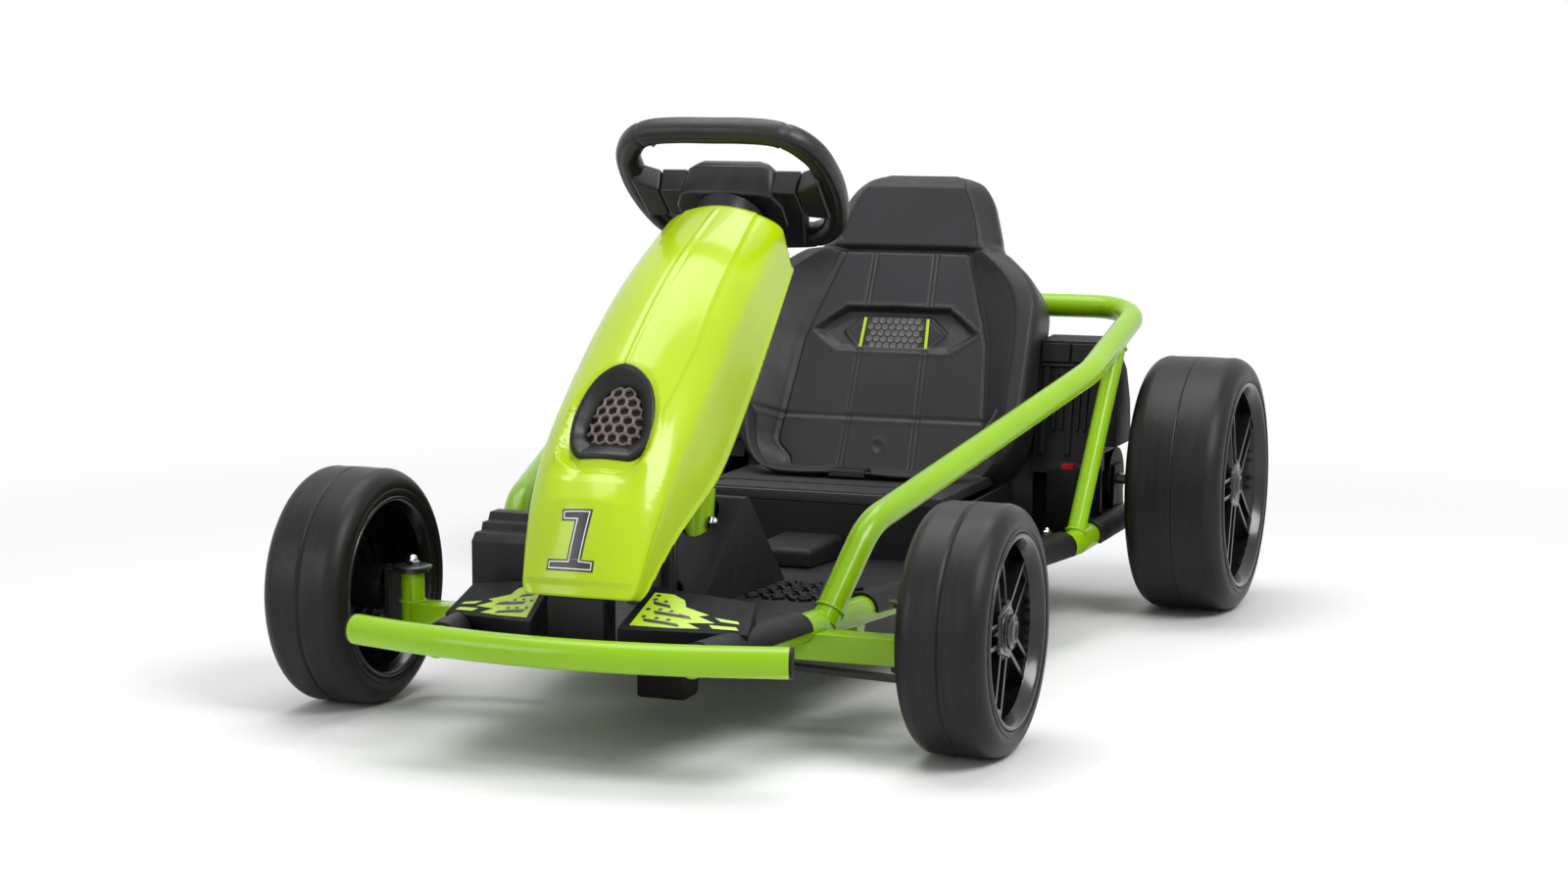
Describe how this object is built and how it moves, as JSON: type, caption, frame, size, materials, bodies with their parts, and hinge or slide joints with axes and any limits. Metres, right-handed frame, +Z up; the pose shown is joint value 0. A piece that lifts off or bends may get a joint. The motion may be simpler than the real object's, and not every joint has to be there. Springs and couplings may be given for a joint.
{
  "type": "electric drift kart",
  "caption": "Children's electric drift kart with a welded tube frame, tall narrow nose cowl, bucket seat, D-shaped steering wheel and wide slick wheels.",
  "frame": {"origin": "on the floor under the middle of the overall box", "axes": "+X forward along the kart, +Y to the driver's left, +Z up"},
  "size_m": [1.091, 0.7596, 0.5379],
  "materials": {
    "lime_paint": "gloss",
    "lime_shell": "gloss",
    "black_plastic": "matte",
    "seat_plastic": "matte",
    "tyre_black": "matte",
    "rim_black": "satin",
    "dark_steel": "satin",
    "steel": "satin",
    "red_plastic": "gloss",
    "footplate_plastic": "gloss",
    "webbing": "matte",
    "battery_case": "matte"
  },
  "bodies": {
    "chassis": {"battery_block": "battery_case", "belt_buckle": "black_plastic", "belt_left": "webbing", "belt_right": "webbing", "bumper_cap_left": "black_plastic", "bumper_cap_right": "black_plastic", "cross_tube_front": "lime_paint", "cross_tube_rear": "lime_paint", "floor_box": "black_plastic", "floor_hump": "black_plastic", "floor_pan": "black_plastic", "footplate_left": "footplate_plastic", "footplate_right": "footplate_plastic", "front_beam": "lime_paint", "front_bumper": "lime_paint", "gearbox_left": "black_plastic", "gearbox_right": "black_plastic", "headrest_panel": "seat_plastic", "hoop": "lime_paint", "intake_frame": "black_plastic", "intake_grille": "black_plastic", "nose_collar": "black_plastic", "nose_cowl": "lime_shell", "nose_mount": "black_plastic", "pedal": "black_plastic", "pedal_box": "black_plastic", "post_socket": "lime_paint", "post_tube": "dark_steel", "power_switch": "red_plastic", "rear_axle": "steel", "rear_housing": "black_plastic", "seat_back_panel": "seat_plastic", "seat_cushion": "seat_plastic", "seat_plate": "seat_plastic", "seat_shell": "seat_plastic", "side_pod_left": "black_plastic", "side_pod_right": "black_plastic", "side_rail_left": "lime_paint", "side_rail_right": "lime_paint", "steering_gear_housing": "black_plastic", "strut_left": "lime_paint", "strut_right": "lime_paint"},
    "steering_wheel": {"steering_wheel_rim": "black_plastic", "steering_wheel_pad": "black_plastic", "upper_steering_column": "dark_steel"},
    "lower_column": {"lower_steering_column": "dark_steel"},
    "knuckle_left": {"knuckle_left": "dark_steel"},
    "tie_rod_left": {"tie_rod_left": "steel"},
    "wheel_front_left": {"tyre_front_left": "tyre_black", "rim_front_left": "rim_black"},
    "wheel_rear_left": {"tyre_rear_left": "tyre_black", "rim_rear_left": "rim_black"},
    "knuckle_right": {"knuckle_right": "dark_steel"},
    "tie_rod_right": {"tie_rod_right": "steel"},
    "wheel_front_right": {"tyre_front_right": "tyre_black", "rim_front_right": "rim_black"},
    "wheel_rear_right": {"tyre_rear_right": "tyre_black", "rim_rear_right": "rim_black"}
  },
  "joints": [
    {"name": "steering", "type": "hinge", "parent": "chassis", "child": "steering_wheel", "pos_m": [0.1211, 0, 0.458], "axis": [-0.6691, 0, 0.7431], "range_deg": [-25, 25]},
    {"name": "lower_column_turn", "type": "hinge", "parent": "chassis", "child": "lower_column", "pos_m": [0.284, 0, 0.05], "axis": [0, 0, 1], "range_deg": [-25, 25]},
    {"name": "kingpin_left", "type": "hinge", "parent": "chassis", "child": "knuckle_left", "pos_m": [0.3205, 0.24, 0.1], "axis": [0, 0, 1], "range_deg": [-25, 25]},
    {"name": "tie_rod_left_eye", "type": "hinge", "parent": "knuckle_left", "child": "tie_rod_left", "pos_m": [0.2805, 0.24, 0.05], "axis": [0, 0, 1], "range_deg": [-25, 25]},
    {"name": "wheel_front_left_roll", "type": "hinge", "parent": "knuckle_left", "child": "wheel_front_left", "pos_m": [0.3205, 0.299, 0.109], "axis": [0, 1, 0], "continuous": true},
    {"name": "wheel_rear_left_roll", "type": "hinge", "parent": "chassis", "child": "wheel_rear_left", "pos_m": [-0.4095, 0.327, 0.136], "axis": [0, 1, 0], "continuous": true},
    {"name": "kingpin_right", "type": "hinge", "parent": "chassis", "child": "knuckle_right", "pos_m": [0.3205, -0.24, 0.1], "axis": [0, 0, 1], "range_deg": [-25, 25]},
    {"name": "tie_rod_right_eye", "type": "hinge", "parent": "knuckle_right", "child": "tie_rod_right", "pos_m": [0.2805, -0.24, 0.043], "axis": [0, 0, 1], "range_deg": [-25, 25]},
    {"name": "wheel_front_right_roll", "type": "hinge", "parent": "knuckle_right", "child": "wheel_front_right", "pos_m": [0.3205, -0.299, 0.109], "axis": [0, 1, 0], "continuous": true},
    {"name": "wheel_rear_right_roll", "type": "hinge", "parent": "chassis", "child": "wheel_rear_right", "pos_m": [-0.4095, -0.327, 0.136], "axis": [0, 1, 0], "continuous": true}
  ],
  "couplings": [
    {"joint": "lower_column_turn", "follows": "steering", "ratio": 1},
    {"joint": "kingpin_left", "follows": "steering", "ratio": 1},
    {"joint": "tie_rod_left_eye", "follows": "steering", "ratio": -1},
    {"joint": "kingpin_right", "follows": "steering", "ratio": 1},
    {"joint": "tie_rod_right_eye", "follows": "steering", "ratio": -1}
  ]
}
